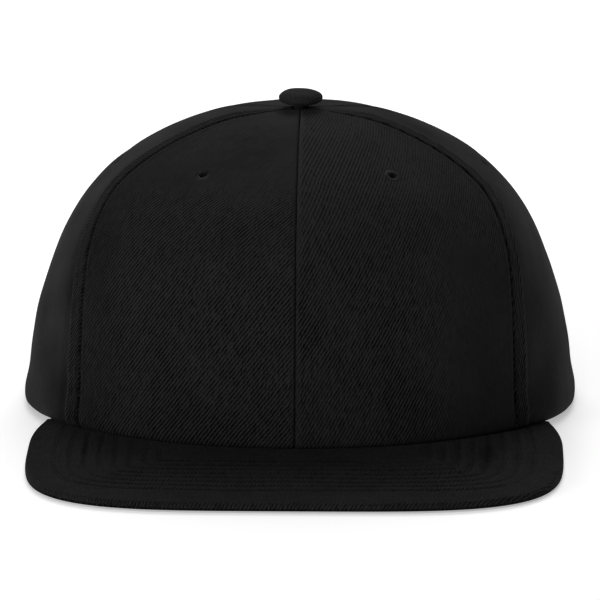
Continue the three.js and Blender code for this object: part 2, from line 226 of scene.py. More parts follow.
def squared(value, squareness):
    """sign(value) times |value|^(2 / squareness), which makes a circle a squarer ring."""
    return np.sign(value) * np.abs(value) ** (2 / squareness)


def rim_height(y):
    """The rim's height: 0 behind the flat part, rising smoothly to the front."""
    return RIM_FRONT_LIFT * smoothstep(-y, -RIM_FLAT_FROM, CROWN_FRONT)


def dome(angle, t):
    """The smooth crown: a squarish ellipse at each height, its reach set by the table.

    angle runs from the front towards the wearer's left, and t from the rim to the top.
    """
    angle, t = np.broadcast_arrays(angle, t)
    rise = section("rise", t)
    ahead = squared(np.cos(angle), PLAN_SQUARENESS)
    reach = np.where(ahead > 0, CROWN_FRONT, CROWN_BACK)
    share = np.where(ahead > 0, section("front", t), section("back", t))
    x = CROWN_HALF_WIDTH * section("side", t) * squared(np.sin(angle), PLAN_SQUARENESS)
    y = -reach * share * ahead + APEX_SETBACK * rise
    rim = rim_height(-reach * ahead)
    return np.stack([x, y, lerp(rim, APEX_HEIGHT, rise)], -1)


def dome_normal(angle, t):
    """Outward direction: the step round the dome crossed with the step up it."""
    step = 1e-3
    around = dome(angle + step, t) - dome(angle - step, t)
    up = dome(angle, np.minimum(t + step, 1)) - dome(angle, np.maximum(t - step, 0))
    normal = np.cross(around, up)
    normal[..., 2] = np.where(np.broadcast_to(t, normal.shape[:-1]) <= 0, 0, normal[..., 2])
    return unit(normal)


def seam_angle(number, t):
    """The angle of seam 0 to 6 at height t, once round from the back to the back."""
    front = np.radians(section("seam", t))
    sign = np.sign(number - 3)
    fixed = {0: math.pi, 1: BACK_SEAM, 3: 0.0}.get(3 - abs(number - 3))
    return sign * (front if fixed is None else np.full_like(front, fixed))


def drawn_in(angle, t):
    """1 - flatness * rise^2 * (1 - across^2), where across is -1 and 1 at a panel's seams."""
    seams = np.stack([seam_angle(k, t + 0 * angle) for k in range(7)], -1)
    first = np.clip(np.sum(angle[..., None] >= seams, -1) - 1, 0, 5)[..., None]
    low = np.take_along_axis(seams, first, -1)[..., 0]
    high = np.take_along_axis(seams, first + 1, -1)[..., 0]
    across = np.clip(2 * (angle - low) / (high - low) - 1, -1, 1)
    return 1 - PANEL_FLATNESS * section("rise", t) ** 2 * (1 - across**2)


def crown(angle, t, lift):
    """The dome drawn in towards its axis between the seams, then moved out by lift."""
    angle, t = np.broadcast_arrays(np.asarray(angle, float), np.asarray(t, float))
    points = dome(angle, t)
    share = drawn_in(angle, t)
    middle = APEX_SETBACK * section("rise", t)
    points[..., 0] *= share
    points[..., 1] = middle + (points[..., 1] - middle) * share
    return points + dome_normal(angle, t) * np.asarray(lift)[..., None]


def inside_crown(angle, height, depth):
    """A point at a height over the rim, moved level inwards by depth from the outer face."""
    rim = dome(angle, np.zeros_like(angle))[..., 2]
    t = t_at_rise(height / (APEX_HEIGHT - rim))
    level = dome_normal(angle, np.zeros_like(angle))
    return crown(angle, t, 0.0) - level * np.asarray(depth)[..., None]


# The angle at each distance along the rim from the middle of the back
ARC_TURN = np.linspace(0, math.pi, 7201)
ARC_LENGTH = length_along(dome(math.pi - ARC_TURN, np.zeros_like(ARC_TURN)))


def angle_at_arc(arc):
    """The crown angle at a signed distance from the middle of the back, along the rim."""
    turn = math.pi - np.interp(np.abs(arc), ARC_LENGTH, ARC_TURN)
    return np.where(arc < 0, -turn, turn)


ARCH_ANGLE = math.asin((ARCH_HALF_WIDTH / CROWN_HALF_WIDTH) ** (PLAN_SQUARENESS / 2))
ARCH_ARC = float(np.interp(ARCH_ANGLE, ARC_TURN, ARC_LENGTH))
ROOT_ARC = ARCH_ARC + STRAP_ROOT


# Meshes


def shell_faces(keep):
    """Quads over a grid of kept cells: the outer face, the inner face turned round, and a
    wall along every edge between a kept cell and a missing one. Inner points follow the
    outer ones in the list, in the same order."""
    rows, columns = keep.shape
    count = (rows + 1) * (columns + 1)
    at = np.arange(count).reshape(rows + 1, columns + 1)
    a, b, c, d = at[:-1, :-1], at[:-1, 1:], at[1:, 1:], at[1:, :-1]
    quads = np.stack([a, b, c, d], -1)[keep]
    faces = [quads, quads[:, ::-1] + count]
    padded = np.pad(keep, 1)
    sides = [
        (a, b, padded[:-2, 1:-1]),
        (b, c, padded[1:-1, 2:]),
        (c, d, padded[2:, 1:-1]),
        (d, a, padded[1:-1, :-2]),
    ]
    for start, end, neighbour in sides:
        edge = keep & ~neighbour
        p, q = start[edge], end[edge]
        faces.append(np.stack([q, p, p + count, q + count], -1))
    return np.concatenate(faces)


def shell(outer, inner, keep, cloth, inner_cloth=None):
    """The shell between two grids of points as points, faces and places on the cloth, which
    are the same on both faces unless others are given for the inner one."""
    points = np.concatenate([outer.reshape(-1, 3), inner.reshape(-1, 3)])
    inner_cloth = cloth if inner_cloth is None else inner_cloth
    return points, [shell_faces(keep)], np.concatenate([cloth, inner_cloth])


def ring_faces(rings, around):
    """Quads of a tube whose rings follow each other, each closed on itself."""
    at = np.arange(rings * around).reshape(rings, around)
    turned = np.roll(at, -1, axis=1)
    return np.stack([at[:-1], turned[:-1], turned[1:], at[1:]], -1).reshape(-1, 4)


def turned(centre, axis, radius, height, phi):
    """centre + side radius cos phi + up radius sin phi + axis height, with side level."""
    side = unit(np.cross([0, 0, 1], axis))
    up = np.cross(axis, side)
    return (
        centre
        + side * (radius * np.cos(phi))[..., None]
        + up * (radius * np.sin(phi))[..., None]
        + axis * (height + 0 * phi)[..., None]
    )


def closed(grid, poles):
    """The points and faces of a tube of rings that is closed to a point at each end."""
    rings, around = grid.shape[:2]
    first = np.arange(around)
    second = np.roll(first, -1)
    last = (rings - 1) * around
    pole = np.full(around, rings * around)
    start = np.stack([second, first, pole], -1)
    end = np.stack([first + last, second + last, pole + 1], -1)
    points = np.concatenate([grid.reshape(-1, 3), poles])
    return points, [ring_faces(rings, around), start, end]


def make_piece(name, points, faces, cloth, material, stands_for, slot, nap_and_paling=None):
    """A mesh from points in millimetres, rows of equal length in each array of faces, and
    a place on the cloth for each point. Points that no face uses are dropped. Its last
    argument has, by name, a value for each point that the material reads: the nap, and the
    paling, which carries painted light and shade as well as the cloth's own tone."""
    loops = np.concatenate([part.reshape(-1) for part in faces])
    used, loops = np.unique(loops, return_inverse=True)
    sizes = np.concatenate([np.full(len(part), part.shape[1]) for part in faces])
    starts = np.concatenate([[0], np.cumsum(sizes)[:-1]])
    placed = (points[used] + [0, BACK_STEP, 0]) * MM
    mesh = bpy.data.meshes.new(name)
    mesh.vertices.add(len(used))
    mesh.vertices.foreach_set("co", placed.astype(np.float32).ravel())
    mesh.loops.add(len(loops))
    mesh.loops.foreach_set("vertex_index", loops.astype(np.int32))
    mesh.polygons.add(len(starts))
    mesh.polygons.foreach_set("loop_start", starts.astype(np.int32))
    mesh.polygons.foreach_set("use_smooth", np.ones(len(starts), bool))
    layer = mesh.uv_layers.new(name="cloth")
    layer.data.foreach_set("uv", cloth[used][loops].astype(np.float32).ravel())
    for kind, values in (nap_and_paling or {}).items():
        raised = mesh.attributes.new(kind, "FLOAT", "POINT")
        raised.data.foreach_set("value", values[used].astype(np.float32))
    mesh.update(calc_edges=True)
    mesh.validate()
    mesh.materials.append(material)
    piece = bpy.data.objects.new(name, mesh)
    bpy.context.collection.objects.link(piece)
    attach(piece, BODY)
    if stands_for:
        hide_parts(stands_for)


def joined(parts):
    """Several (points, faces, cloth) as one, each part's faces counted on from the last."""
    offsets = np.cumsum([0] + [len(part[0]) for part in parts])
    faces = [some + offset for part, offset in zip(parts, offsets) for some in part[1]]
    points = np.concatenate([part[0] for part in parts])
    cloth = np.concatenate([part[2] for part in parts])
    return points, faces, cloth


def round_hole(u, v, radius):
    """((across - u)^2 + (along - v)^2) / radius^2, which is under 1 inside the hole."""
    return lambda across, along: ((across - u) ** 2 + (along - v) ** 2) / radius**2


def stitches(points, normals, radius=0.24, sink=0.1):
    """A row of stitches along a path. Each is a spindle of five rings of six points, its
    middle proud of the cloth by its radius less sink, and its ends drawn down into it."""
    along = length_along(points)
    count = max(1, int(along[-1] / STITCH_PITCH))
    centres = (np.arange(count) + 0.5) * along[-1] / count

    def at(values, place):
        """Rows of values at a length along the path."""
        return np.stack([np.interp(place, along, values[:, k]) for k in range(3)], -1)

    half = STITCH_PITCH * STITCH_FILL / 2
    share = np.array([-1.0, -0.72, 0.0, 0.72, 1.0])
    thick = radius * np.array([0.3, 0.85, 1.0, 0.85, 0.3])
    lift = radius * np.array([-1.2, 0.1, 0.55, 0.1, -1.2]) - sink
    turn = np.arange(6) * math.pi / 3
    place = np.clip(centres[:, None] + share * half, 0, along[-1])
    middle, up = at(points, place), unit(at(normals, place))
    ahead = unit(at(points, centres + half) - at(points, centres - half))[:, None]
    side = unit(np.cross(ahead, up))
    up = np.cross(side, ahead)
    spine = middle + up * lift[:, None]
    ring = (
        spine[:, :, None]
        + side[:, :, None] * (thick[:, None] * np.cos(turn))[..., None]
        + up[:, :, None] * (thick[:, None] * np.sin(turn))[..., None]
    )
    faces = ring_faces(5, 6)
    ends = np.array([[0, 5, 4, 3, 2, 1], [24, 25, 26, 27, 28, 29]])
    offsets = (np.arange(count) * 30)[:, None, None]
    faces = [(faces + offsets).reshape(-1, 4), (ends + offsets).reshape(-1, 6)]
    cloth = np.stack(np.broadcast_arrays(place[:, :, None], turn * radius), -1)
    return ring.reshape(-1, 3), faces, cloth.reshape(-1, 2)


# Materials


def linear(code):
    """A hex colour as linear red, green, blue and 1."""
    parts = [int(code[k : k + 2], 16) / 255 for k in (1, 3, 5)]
    return [c / 12.92 if c <= 0.04045 else ((c + 0.055) / 1.055) ** 2.4 for c in parts] + [1]


def node(tree, kind, links=(), **settings):
    """Adds a node. Settings name its properties, and links its inputs, by name or in order:
    a value, a node whose first output feeds it, or one output of a node."""
    made = tree.nodes.new(kind)
    for name, value in settings.items():
        setattr(made, name, value)
    for name, value in links.items() if isinstance(links, dict) else enumerate(links):
        if isinstance(value, bpy.types.Node):
            value = value.outputs[0]
        if isinstance(value, bpy.types.NodeSocket):
            tree.links.new(value, made.inputs[name])
        else:
            made.inputs[name].default_value = value
    return made


def new_material(name, shader):
    """A material with its tree, its shader set to plain values, and its surface linked."""
    material = bpy.data.materials.new(name)
    material.use_nodes = True
    tree = material.node_tree
    tree.nodes.clear()
    surface = node(tree, "ShaderNodeBsdfPrincipled", shader)
    node(tree, "ShaderNodeOutputMaterial", {"Surface": surface})
    return material, tree, surface


def cloth_place(tree):
    """The place on the cloth in millimetres, and its two parts, across and along."""
    uv = node(tree, "ShaderNodeUVMap", uv_map="cloth")
    parts = node(tree, "ShaderNodeSeparateXYZ", [uv])
    return uv, parts.outputs[0], parts.outputs[1]


def colour_and_raise(tree, surface, tone, dark, light, relief, strength, depth):
    """Colours the shader from dark to light as tone goes from 0 to 1, and bumps it by the
    relief, by so much strength and a depth in metres."""
    shades = {0: tone, 6: linear(dark), 7: linear(light)}
    colour = node(tree, "ShaderNodeMix", shades, data_type="RGBA")
    relief = {"Height": relief, "Strength": strength, "Distance": depth}
    bump = node(tree, "ShaderNodeBump", relief)
    tree.links.new(colour.outputs[2], surface.inputs["Base Color"])
    tree.links.new(bump.outputs[0], surface.inputs["Normal"])


# Node types
MATH = "ShaderNodeMath"
NOISE = "ShaderNodeTexNoise"
POINT_VALUE = "ShaderNodeAttribute"

# Yarn spacing of the twill: its lines then rise at 57 degrees, 1.1 mm apart
WARP_PITCH = 0.325
WEFT_PITCH = 0.5

SWEATBAND_YARN = 0.6  # yarn spacing, drawn a little coarse so that it shows
THREAD_TWIST = 0.55  # one turn of the plies


def twill_cloth(name, dark, light, sheen=0.035, lines=1.0):
    """Brushed cotton twill, woven three over one and piece-dyed black. The warp floats over
    three wefts and dives under one, one weft later on each next yarn, which gives the eye
    steep dark lines, soft grey ridges between them, and a fine fuzz that pales at an edge.
    The fuzz hides the lines where the nap is brushed up. lines says how clear they are."""
    shader = {
        "Roughness": 0.9,
        "Specular IOR Level": 0.02,
        "Sheen Weight": sheen,
        "Sheen Roughness": 0.5,
        "Sheen Tint": linear("#d0d0d0"),
    }
    material, tree, surface = new_material(name, shader)
    uv, across, along = cloth_place(tree)
    # the yarns wander a little, and are counted across the warp and up the weft
    drift = node(tree, NOISE, {"Vector": uv, "Scale": 0.06, "Detail": 2.0})
    drift = node(tree, MATH, [drift, 0.5], operation="SUBTRACT")
    warp = node(tree, MATH, [across, drift], operation="ADD")
    warp = node(tree, MATH, [warp, WARP_PITCH], operation="DIVIDE")
    weft = node(tree, MATH, [along, WEFT_PITCH], operation="DIVIDE")
    yarn = node(tree, MATH, [warp], operation="FLOOR")
    repeat = node(tree, MATH, [weft, yarn], operation="SUBTRACT")
    repeat = node(tree, MATH, [repeat, 0.25], operation="MULTIPLY")
    # a float bows over three wefts as 1 - p^4, with p from -1 to 1 along it
    bow = node(tree, MATH, [repeat], operation="FRACT")
    bow = node(tree, MATH, [bow, 8 / 3, -1.0], operation="MULTIPLY_ADD")
    bow = node(tree, MATH, [bow], operation="ABSOLUTE")
    bow = node(tree, MATH, [bow, 4.0], operation="POWER")
    bow = node(tree, MATH, [1.0, bow], operation="SUBTRACT")
    bow = node(tree, MATH, [bow, 0.0], operation="MAXIMUM")
    # a yarn is round in section, 1 - q^2, with q from -1 to 1 across it
    sections = []
    for yarns in (warp, weft):
        q = node(tree, MATH, [yarns], operation="FRACT")
        q = node(tree, MATH, [q, 2.0, -1.0], operation="MULTIPLY_ADD")
        q = node(tree, MATH, [q, q], operation="MULTIPLY")
        sections.append(node(tree, MATH, [1.0, q], operation="SUBTRACT"))
    over = node(tree, MATH, [sections[0], 0.7, 0.3], operation="MULTIPLY_ADD")
    over = node(tree, MATH, [bow, over], operation="MULTIPLY")
    under = node(tree, MATH, [sections[1], 0.35], operation="MULTIPLY")
    height = node(tree, MATH, [over, under], operation="MAXIMUM")
    # the lines of the twill as one soft wave too, which still shows from a distance
    slub = node(tree, NOISE, {"Vector": uv, "Scale": 1.2, "Detail": 3.0})
    slub = node(tree, MATH, [slub, 5.0, -2.5], operation="MULTIPLY_ADD")
    wave = node(tree, MATH, [weft, warp], operation="SUBTRACT")
    wave = node(tree, MATH, [wave, math.pi / 2, slub], operation="MULTIPLY_ADD")
    wave = node(tree, MATH, [wave], operation="COSINE")
    wave = node(tree, MATH, [wave, 0.5], operation="MULTIPLY")
    # both are clear where the cloth is pressed, and less so where it is worn
    nap = node(tree, POINT_VALUE, attribute_name="nap").outputs["Fac"]
    worn = node(tree, NOISE, {"Vector": uv, "Scale": 0.03, "Detail": 2.0})
    clear = node(tree, MATH, [worn, -1.6 * lines, 1.6 * lines], operation="MULTIPLY_ADD")
    pressed = node(tree, MATH, [nap, -0.92, 1.0], operation="MULTIPLY_ADD")
    clear = node(tree, MATH, [clear, pressed], operation="MULTIPLY")
    wave = node(tree, MATH, [wave, clear, 0.45], operation="MULTIPLY_ADD")
    weave = node(tree, MATH, [height, 0.5], operation="SUBTRACT")
    weave = node(tree, MATH, [weave, clear], operation="MULTIPLY")
    weave = node(tree, MATH, [weave, 0.8, wave], operation="MULTIPLY_ADD")
    # each float takes the dye a little differently
    end = node(tree, MATH, [repeat], operation="FLOOR")
    pair = node(tree, "ShaderNodeCombineXYZ", [yarn, end])
    dye = node(tree, "ShaderNodeTexWhiteNoise", {"Vector": pair}, noise_dimensions="2D")
    dye = node(tree, MATH, [dye, 0.5], operation="SUBTRACT")
    spread = node(tree, MATH, [nap, -0.35 * lines, 0.5 * lines], operation="MULTIPLY_ADD")
    tone = node(tree, MATH, [dye, spread], operation="MULTIPLY")
    # then come the fuzz, broad uneven patches, and the paling of each place, which carries
    # painted light and shade as well as the cloth's own tone
    hazy = node(tree, MATH, [nap, -0.42, 0.6], operation="MULTIPLY_ADD")
    fuzz = node(tree, NOISE, {"Vector": uv, "Scale": 2.6, "Detail": 4.0})
    shade = node(tree, MATH, [fuzz, 0.5], operation="SUBTRACT")
    tone = node(tree, MATH, [shade, hazy, tone], operation="MULTIPLY_ADD")
    patch = node(tree, NOISE, {"Vector": uv, "Scale": 0.05, "Detail": 4.0})
    patch = node(tree, MATH, [patch, 0.5], operation="SUBTRACT")
    tone = node(tree, MATH, [patch, 0.3, tone], operation="MULTIPLY_ADD")
    pale = node(tree, POINT_VALUE, attribute_name="pale").outputs["Fac"]
    tone = node(tree, MATH, [tone, pale], operation="ADD")
    tone = node(tree, MATH, [tone, weave], operation="ADD", use_clamp=True)
    relief = node(tree, MATH, [fuzz, hazy], operation="MULTIPLY")
    relief = node(tree, MATH, [relief, 0.65, weave], operation="MULTIPLY_ADD")
    colour_and_raise(tree, surface, tone, dark, light, relief, 0.9, 0.0003)
    return material


def plain_weave(name, dark, light):
    """Cotton and polyester sweatband cloth in a plain weave, one over one. Its small square
    checks of yarn, |sin u sin v|, give a flat, matt, even grey-black."""
    shader = {"Roughness": 0.8, "Specular IOR Level": 0.2, "Sheen Weight": 0.2}
    material, tree, surface = new_material(name, shader)
    uv, across, along = cloth_place(tree)
    waves = []
    for place in (across, along):
        turn = node(tree, MATH, [place, math.pi / SWEATBAND_YARN], operation="MULTIPLY")
        waves.append(node(tree, MATH, [turn], operation="SINE"))
    check = node(tree, MATH, [waves[0], waves[1]], operation="MULTIPLY")
    check = node(tree, MATH, [check], operation="ABSOLUTE")
    noise = node(tree, NOISE, {"Vector": uv, "Scale": 1.4, "Detail": 4.0})
    tone = node(tree, MATH, [noise, 0.6, -0.3], operation="MULTIPLY_ADD")
    tone = node(tree, MATH, [check, tone], operation="ADD", use_clamp=True)
    colour_and_raise(tree, surface, tone, dark, light, tone, 0.8, 0.00015)
    return material


def spun_thread(name, dark, light, gloss):
    """Rayon or polyester thread, spun from fine plies and twisted. The slanting plies give
    it small bright and dark bars, and its smooth fibres a low gloss."""
    shader = {"Roughness": 0.5, "Specular IOR Level": gloss, "Sheen Weight": 0.03}
    material, tree, surface = new_material(name, shader)
    uv, across, along = cloth_place(tree)
    plies = node(tree, MATH, [along, 0.9, across], operation="MULTIPLY_ADD")
    plies = node(tree, MATH, [plies, 2 * math.pi / THREAD_TWIST], operation="MULTIPLY")
    plies = node(tree, MATH, [plies], operation="SINE")
    noise = node(tree, NOISE, {"Vector": uv, "Scale": 3.0, "Detail": 3.0})
    tone = node(tree, MATH, [plies, 0.35, noise], operation="MULTIPLY_ADD", use_clamp=True)
    colour_and_raise(tree, surface, tone, dark, light, tone, 0.7, 0.0001)
    return material


def moulded_plastic(name, dark, light):
    """Soft polyethylene, injection moulded in a lightly spark-eroded tool. A fine pebble and
    faint flow marks break up a waxy, half-gloss black."""
    shader = {"IOR": 1.51, "Specular IOR Level": 0.25}
    material, tree, surface = new_material(name, shader)
    place = node(tree, "ShaderNodeTexCoord").outputs["Object"]
    pebble = node(tree, NOISE, {"Vector": place, "Scale": 2600.0, "Detail": 2.0})
    flow = node(tree, NOISE, {"Vector": place, "Scale": 60.0, "Detail": 5.0})
    rough = node(tree, MATH, [flow, 0.22, 0.3], operation="MULTIPLY_ADD")
    tree.links.new(rough.outputs[0], surface.inputs["Roughness"])
    colour_and_raise(tree, surface, flow, dark, light, pebble, 0.35, 0.00006)
    return material


CROWN_TWILL = twill_cloth("crown_brushed_cotton_twill", "#020202", "#2b2b2b", lines=1.25)
PEAK_TWILL = twill_cloth("peak_brushed_cotton_twill", "#020202", "#2c2c2c", sheen=0.02)
BUTTON_TWILL = twill_cloth("button_stretched_cotton_twill", "#040404", "#363636", lines=0.3)
BAND_CLOTH = plain_weave("sweatband_plain_woven_cotton", "#0b0b0c", "#232325")
EYELET_THREAD = spun_thread("eyelet_satin_rayon_thread", "#020202", "#1a1a1a", gloss=0.03)
SEWING_THREAD = spun_thread("seam_spun_polyester_thread", "#030303", "#181818", gloss=0.02)
STRAP_PLASTIC = moulded_plastic("strap_moulded_polyethylene", "#0b0b0c", "#151516")


# Crown panels

# Grid lines at these distances from a seam and from the rim, and then even cells
EDGE_STEPS = np.array(
    [SEAM_GAP / 2, 0.3, 0.5, 0.75, 1.05, 1.5, 2.1, 2.8, 3.6, 4.5, 5.2, 5.6, 5.85, 6.1, 6.35,
     6.65, 7.0, 7.5]
)
HEM_STEPS = [0, 0.4, 0.9, 1.5, 2.1, 2.7]
CELLS_FROM = 3.4
CELL_ALONG = 0.7
CELL_ACROSS = 1.2


class Panel:
    """The flat cloth of the panel between seams number first and first + 1.

    Across is measured from its centre line and along from the rim up its centre line, both
    in millimetres. Tables over 401 heights hold the centre line's length and the width, and
    one over 801 angles, a third of the way up, the share of the width that they lie across.
    """

    def __init__(self, first):
        self.first = first
        t = np.linspace(0, 1, 401)
        low, high = seam_angle(first, t), seam_angle(first + 1, t)
        share = np.linspace(0, 1, 25)[:, None]
        ring = dome(lerp(low, high, share), np.broadcast_to(t, (25, len(t))))
        self.t = t
        self.length = length_along(crown((low + high) / 2, t, 0.0))
        self.width = np.linalg.norm(np.diff(ring, axis=0), axis=2).sum(0)
        level = np.full(801, 0.35)
        low, high = seam_angle(first, level), seam_angle(first + 1, level)
        self.share = np.linspace(0, 1, 801)
        reach = length_along(dome(lerp(low, high, self.share), level))
        self.across_share = reach / reach[-1]

    def height(self, along):
        """The height parameter at a length up the centre line."""
        return np.interp(along, self.length, self.t)

    def width_at(self, along):
        """The panel's width at a length up the centre line."""
        return np.interp(along, self.length, self.width)

    def angle(self, across, along):
        """The crown angle, even in distance across the panel."""
        t = self.height(along)
        low, high = seam_angle(self.first, t), seam_angle(self.first + 1, t)
        share = np.interp(across / self.width_at(along) + 0.5, self.across_share, self.share)
        return lerp(low, high, share)

    def point(self, across, along, lift):
        """The place in space of a place on the cloth."""
        return crown(self.angle(across, along), self.height(along), lift)


def trim(grid_u, grid_v, keep, outline, lowest=0.0):
    """Drops the cells whose middle has outline(u, v) under 1, and draws the grid points on
    the edge of the hole on to the line where it is 1, by Newton steps up its slope. No
    point is drawn below the lowest v."""
    middle_u = (grid_u[:-1, :-1] + grid_u[1:, 1:]) / 2
    middle_v = (grid_v[:-1, :-1] + grid_v[1:, 1:]) / 2
    gone = outline(middle_u, middle_v) < 1
    if not gone.any():
        return
    keep &= ~gone
    touched = np.zeros(grid_u.shape, bool)
    kept = np.zeros(grid_u.shape, bool)
    for mark, cells in ((touched, gone), (kept, keep)):
        for rows in (slice(None, -1), slice(1, None)):
            for columns in (slice(None, -1), slice(1, None)):
                mark[rows, columns] |= cells
    edge = touched & kept
    u, v = grid_u[edge], grid_v[edge]
    step = 0.01
    for _ in range(6):
        value = outline(u, v) - 1
        slope_u = (outline(u + step, v) - outline(u - step, v)) / (2 * step)
        slope_v = (outline(u, v + step) - outline(u, v - step)) / (2 * step)
        size = slope_u**2 + slope_v**2
        u = u - value * slope_u / size
        v = v - value * slope_v / size
    grid_u[edge], grid_v[edge] = u, np.maximum(v, lowest)


def panel_relief(panel, across, along, bands, eyelet, arch):
    """The lift of a panel's face. The edges roll into the seams; a welt stands beside each;
    an allowance shows as a flat band with a ridge at its edge; stitches pull small puckers
    along the seams; and the whole cloth is slightly uneven."""
    width = panel.width_at(along)
    scale = np.minimum(1, width / (3 * (ALLOWANCE_WIDTH + ALLOWANCE_EDGE)))
    distance = width / 2 - np.abs(across)
    has_band = np.where(across < 0, bands[0], bands[1])
    rolled = SEAM_DEPTH * (1 - smoothstep(distance, 0, 0.85 * scale)) ** 2
    end = ALLOWANCE_WIDTH * scale
    band = 1 - smoothstep(distance, end, end + ALLOWANCE_EDGE * scale)
    ridge = 0.34 * bell(distance, end - 0.3, 0.6) - 0.12 * bell(distance, end + 1.3, 0.7)
    lift = has_band * (ALLOWANCE_LIFT * band + ridge) - rolled
    lift = lift + 0.17 * bell(distance, 1.9 * scale, 0.8)
    wander = 2 * ripple(along, across * 0.1, 23, panel.first)
    pucker = np.sin(2 * math.pi * (along + wander) / SEAM_STITCH_PITCH)
    lift = lift + 0.07 * pucker * bell(distance, 0.8, 0.9)
    soft = smoothstep(distance, 1.0, 14.0)
    lift = lift * scale
    lift = lift + soft * scale * 0.16 * ripple(across, along, 34, 10 + panel.first)
    lift = lift + soft * scale * 0.05 * ripple(across, along, 11, 20 + panel.first)
    hem = HEM_DEPTH * (1 - np.minimum(1, along / HEM_HEIGHT)) ** 2
    hem = hem + 0.6 * (1 - np.minimum(1, along / 1.2)) ** 2
    from_eyelet = np.hypot(across - eyelet[0], along - eyelet[1])
    lift = lift - 0.12 * bell(from_eyelet, EYELET_RADIUS, 1.3)
    if arch is not None:
        from_arch = (np.sqrt(arch(across, along)) - 1) * ARCH_HALF_WIDTH
        lift = lift - 0.7 * (1 - smoothstep(from_arch, 0, 2.4)) ** 2
        lift = lift - 0.22 * bell(from_arch, ARCH_STITCH_INSET, 0.7)
    return np.maximum(lift - hem, 0.4 - PANEL_WALL)


def panel_nap_and_paling(panel, across, along, bands):
    """nap: how far the fuzz is brushed up, on the sides and back everywhere but on the
    pressed bands, and on the front towards the top and the outer edges. pale: how much
    lighter than the pressed cloth it is coloured. Part of it is the cloth's own tone, the
    brushed cloth greyer and the pressed bands darker. The rest is painted light and shade:
    painted sheen on the brushed cloth, a painted highlight on a band's ridge, painted light
    and shade across the front panels, painted shade low on the sides and back, and painted
    light near the top against the shade under the button. Both are sums of smooth steps and
    bells."""
    width = panel.width_at(along)
    distance = width / 2 - np.abs(across)
    if panel.first == 2:
        # the wearer's right half of the front is brushed up towards the top and outside
        nap = 0.9 * smoothstep(along - 0.15 * across, 70, 100)
        nap = np.maximum(nap, 0.6 * smoothstep(-across, 17, 36))
        nap = nap + 0.15 * smoothstep(across, 0, 34)
        # painted light and shade: paler towards the middle of the front, darker towards the
        # outer edge and the top outer corner
        pale = 0.07 + 0.08 * smoothstep(across, -20, 30) - 0.14 * smoothstep(-across, 12, 32)
        pale = pale - 0.08 * smoothstep(along - across, 70, 105)
    elif panel.first == 3:
        # its left half is brushed up outside and pressed towards the top; it is painted paler
        # towards the top as light from above, and darker towards the outer edge as shade
        nap = 0.28 + 0.8 * smoothstep(across, -4, 24)
        nap = nap * smoothstep(along + 0.3 * across, 92, 62)
        pale = 0.1 + 0.3 * smoothstep(along, 50, 112) - 0.1 * smoothstep(across, 8, 32)
    else:
        pressed = np.where(across < 0, bands[0], bands[1])
        scale = np.minimum(1, width / PALE_NARROWS_UNDER)
        edge = ALLOWANCE_WIDTH * scale
        beside = np.where(pressed > 0, distance, 40)
        nap = np.where(
            pressed > 0,
            smoothstep(distance, edge, edge + ALLOWANCE_EDGE),
            smoothstep(distance, 0.6, 2.5),
        )
        start, end = (10.5, 13) if panel.first < 3 else (8, 34)
        # paler beyond the band: partly the brushed cloth's own greyer fuzz, partly painted
        # sheen, with patches of painted sheen in it
        pale = 0.2 * smoothstep(beside, start * scale, end * scale)
        pale = pale + 0.14 * ripple(across, along, 22, 70 + panel.first) * nap
        # painted shade: darker towards the rim, over the lowest 50 mm
        pale = pale - 0.12 * (1 - smoothstep(along, 0, 50))
        # a painted highlight along each band's ridge; the pressed band itself a little darker
        pale = pale + pressed * (0.75 * bell(distance, edge - 0.2, 0.62) - 0.08 * (1 - nap))
    nap = nap + 0.12 * ripple(across, along, 30, 60 + panel.first)
    nap = np.clip(np.maximum(nap, 0.7 * (1 - smoothstep(distance, 0.6, 2.4))), 0, 1)
    # painted light near the top of every panel, lifting the shade cast by the button
    pale = pale + 0.12 * smoothstep(along, panel.length[-1] - 22, panel.length[-1] - 6)
    return {"nap": np.tile(nap.reshape(-1), 2), "pale": np.tile(pale.reshape(-1), 2)}


def arch_outline(panel):
    """The opening at the back as a function of a place on the panel."""

    def outline(across, along):
        """(x / half width)^2 + (z / height)^2, which is under 1 in the opening."""
        point = panel.point(across, along, 0.0)
        return (point[..., 0] / ARCH_HALF_WIDTH) ** 2 + (point[..., 2] / ARCH_HEIGHT) ** 2

    return outline


# Each panel's name, its two allowance bands, and the degrees by which its centre line is
# turned from the warp, at the rim and at the top
PANELS = [
    ("back_right", (0, 0), (0, 0)),
    ("side_right", (0, 1), (0, 0)),
    ("front_right", (0, 0), (-6, -6)),
    ("front_left", (0, 0), (3, -8)),
    ("side_left", (1, 0), (0, 0)),
    ("back_left", (0, 0), (0, 0)),
]


def cut_place(panel, across, along, grain):
    """The place on the uncut cloth. The centre line runs along (sin turn, cos turn), where
    turn goes from one angle of the grain to the other between 50 and 115 mm up, and a point
    lies across from it along (cos turn, -sin turn)."""
    fine = np.linspace(0, panel.length[-1], 400)
    turn = np.radians(lerp(grain[0], grain[1], smoothstep(fine, 50, 115)))
    step = fine[1]
    right = np.concatenate([[0], np.cumsum(np.sin(turn[1:]) * step)])
    up = np.concatenate([[0], np.cumsum(np.cos(turn[1:]) * step)])
    here = np.interp(along, fine, turn)
    u = np.interp(along, fine, right) + across * np.cos(here)
    v = np.interp(along, fine, up) - across * np.sin(here)
    return np.stack([u, v], -1).reshape(-1, 2)


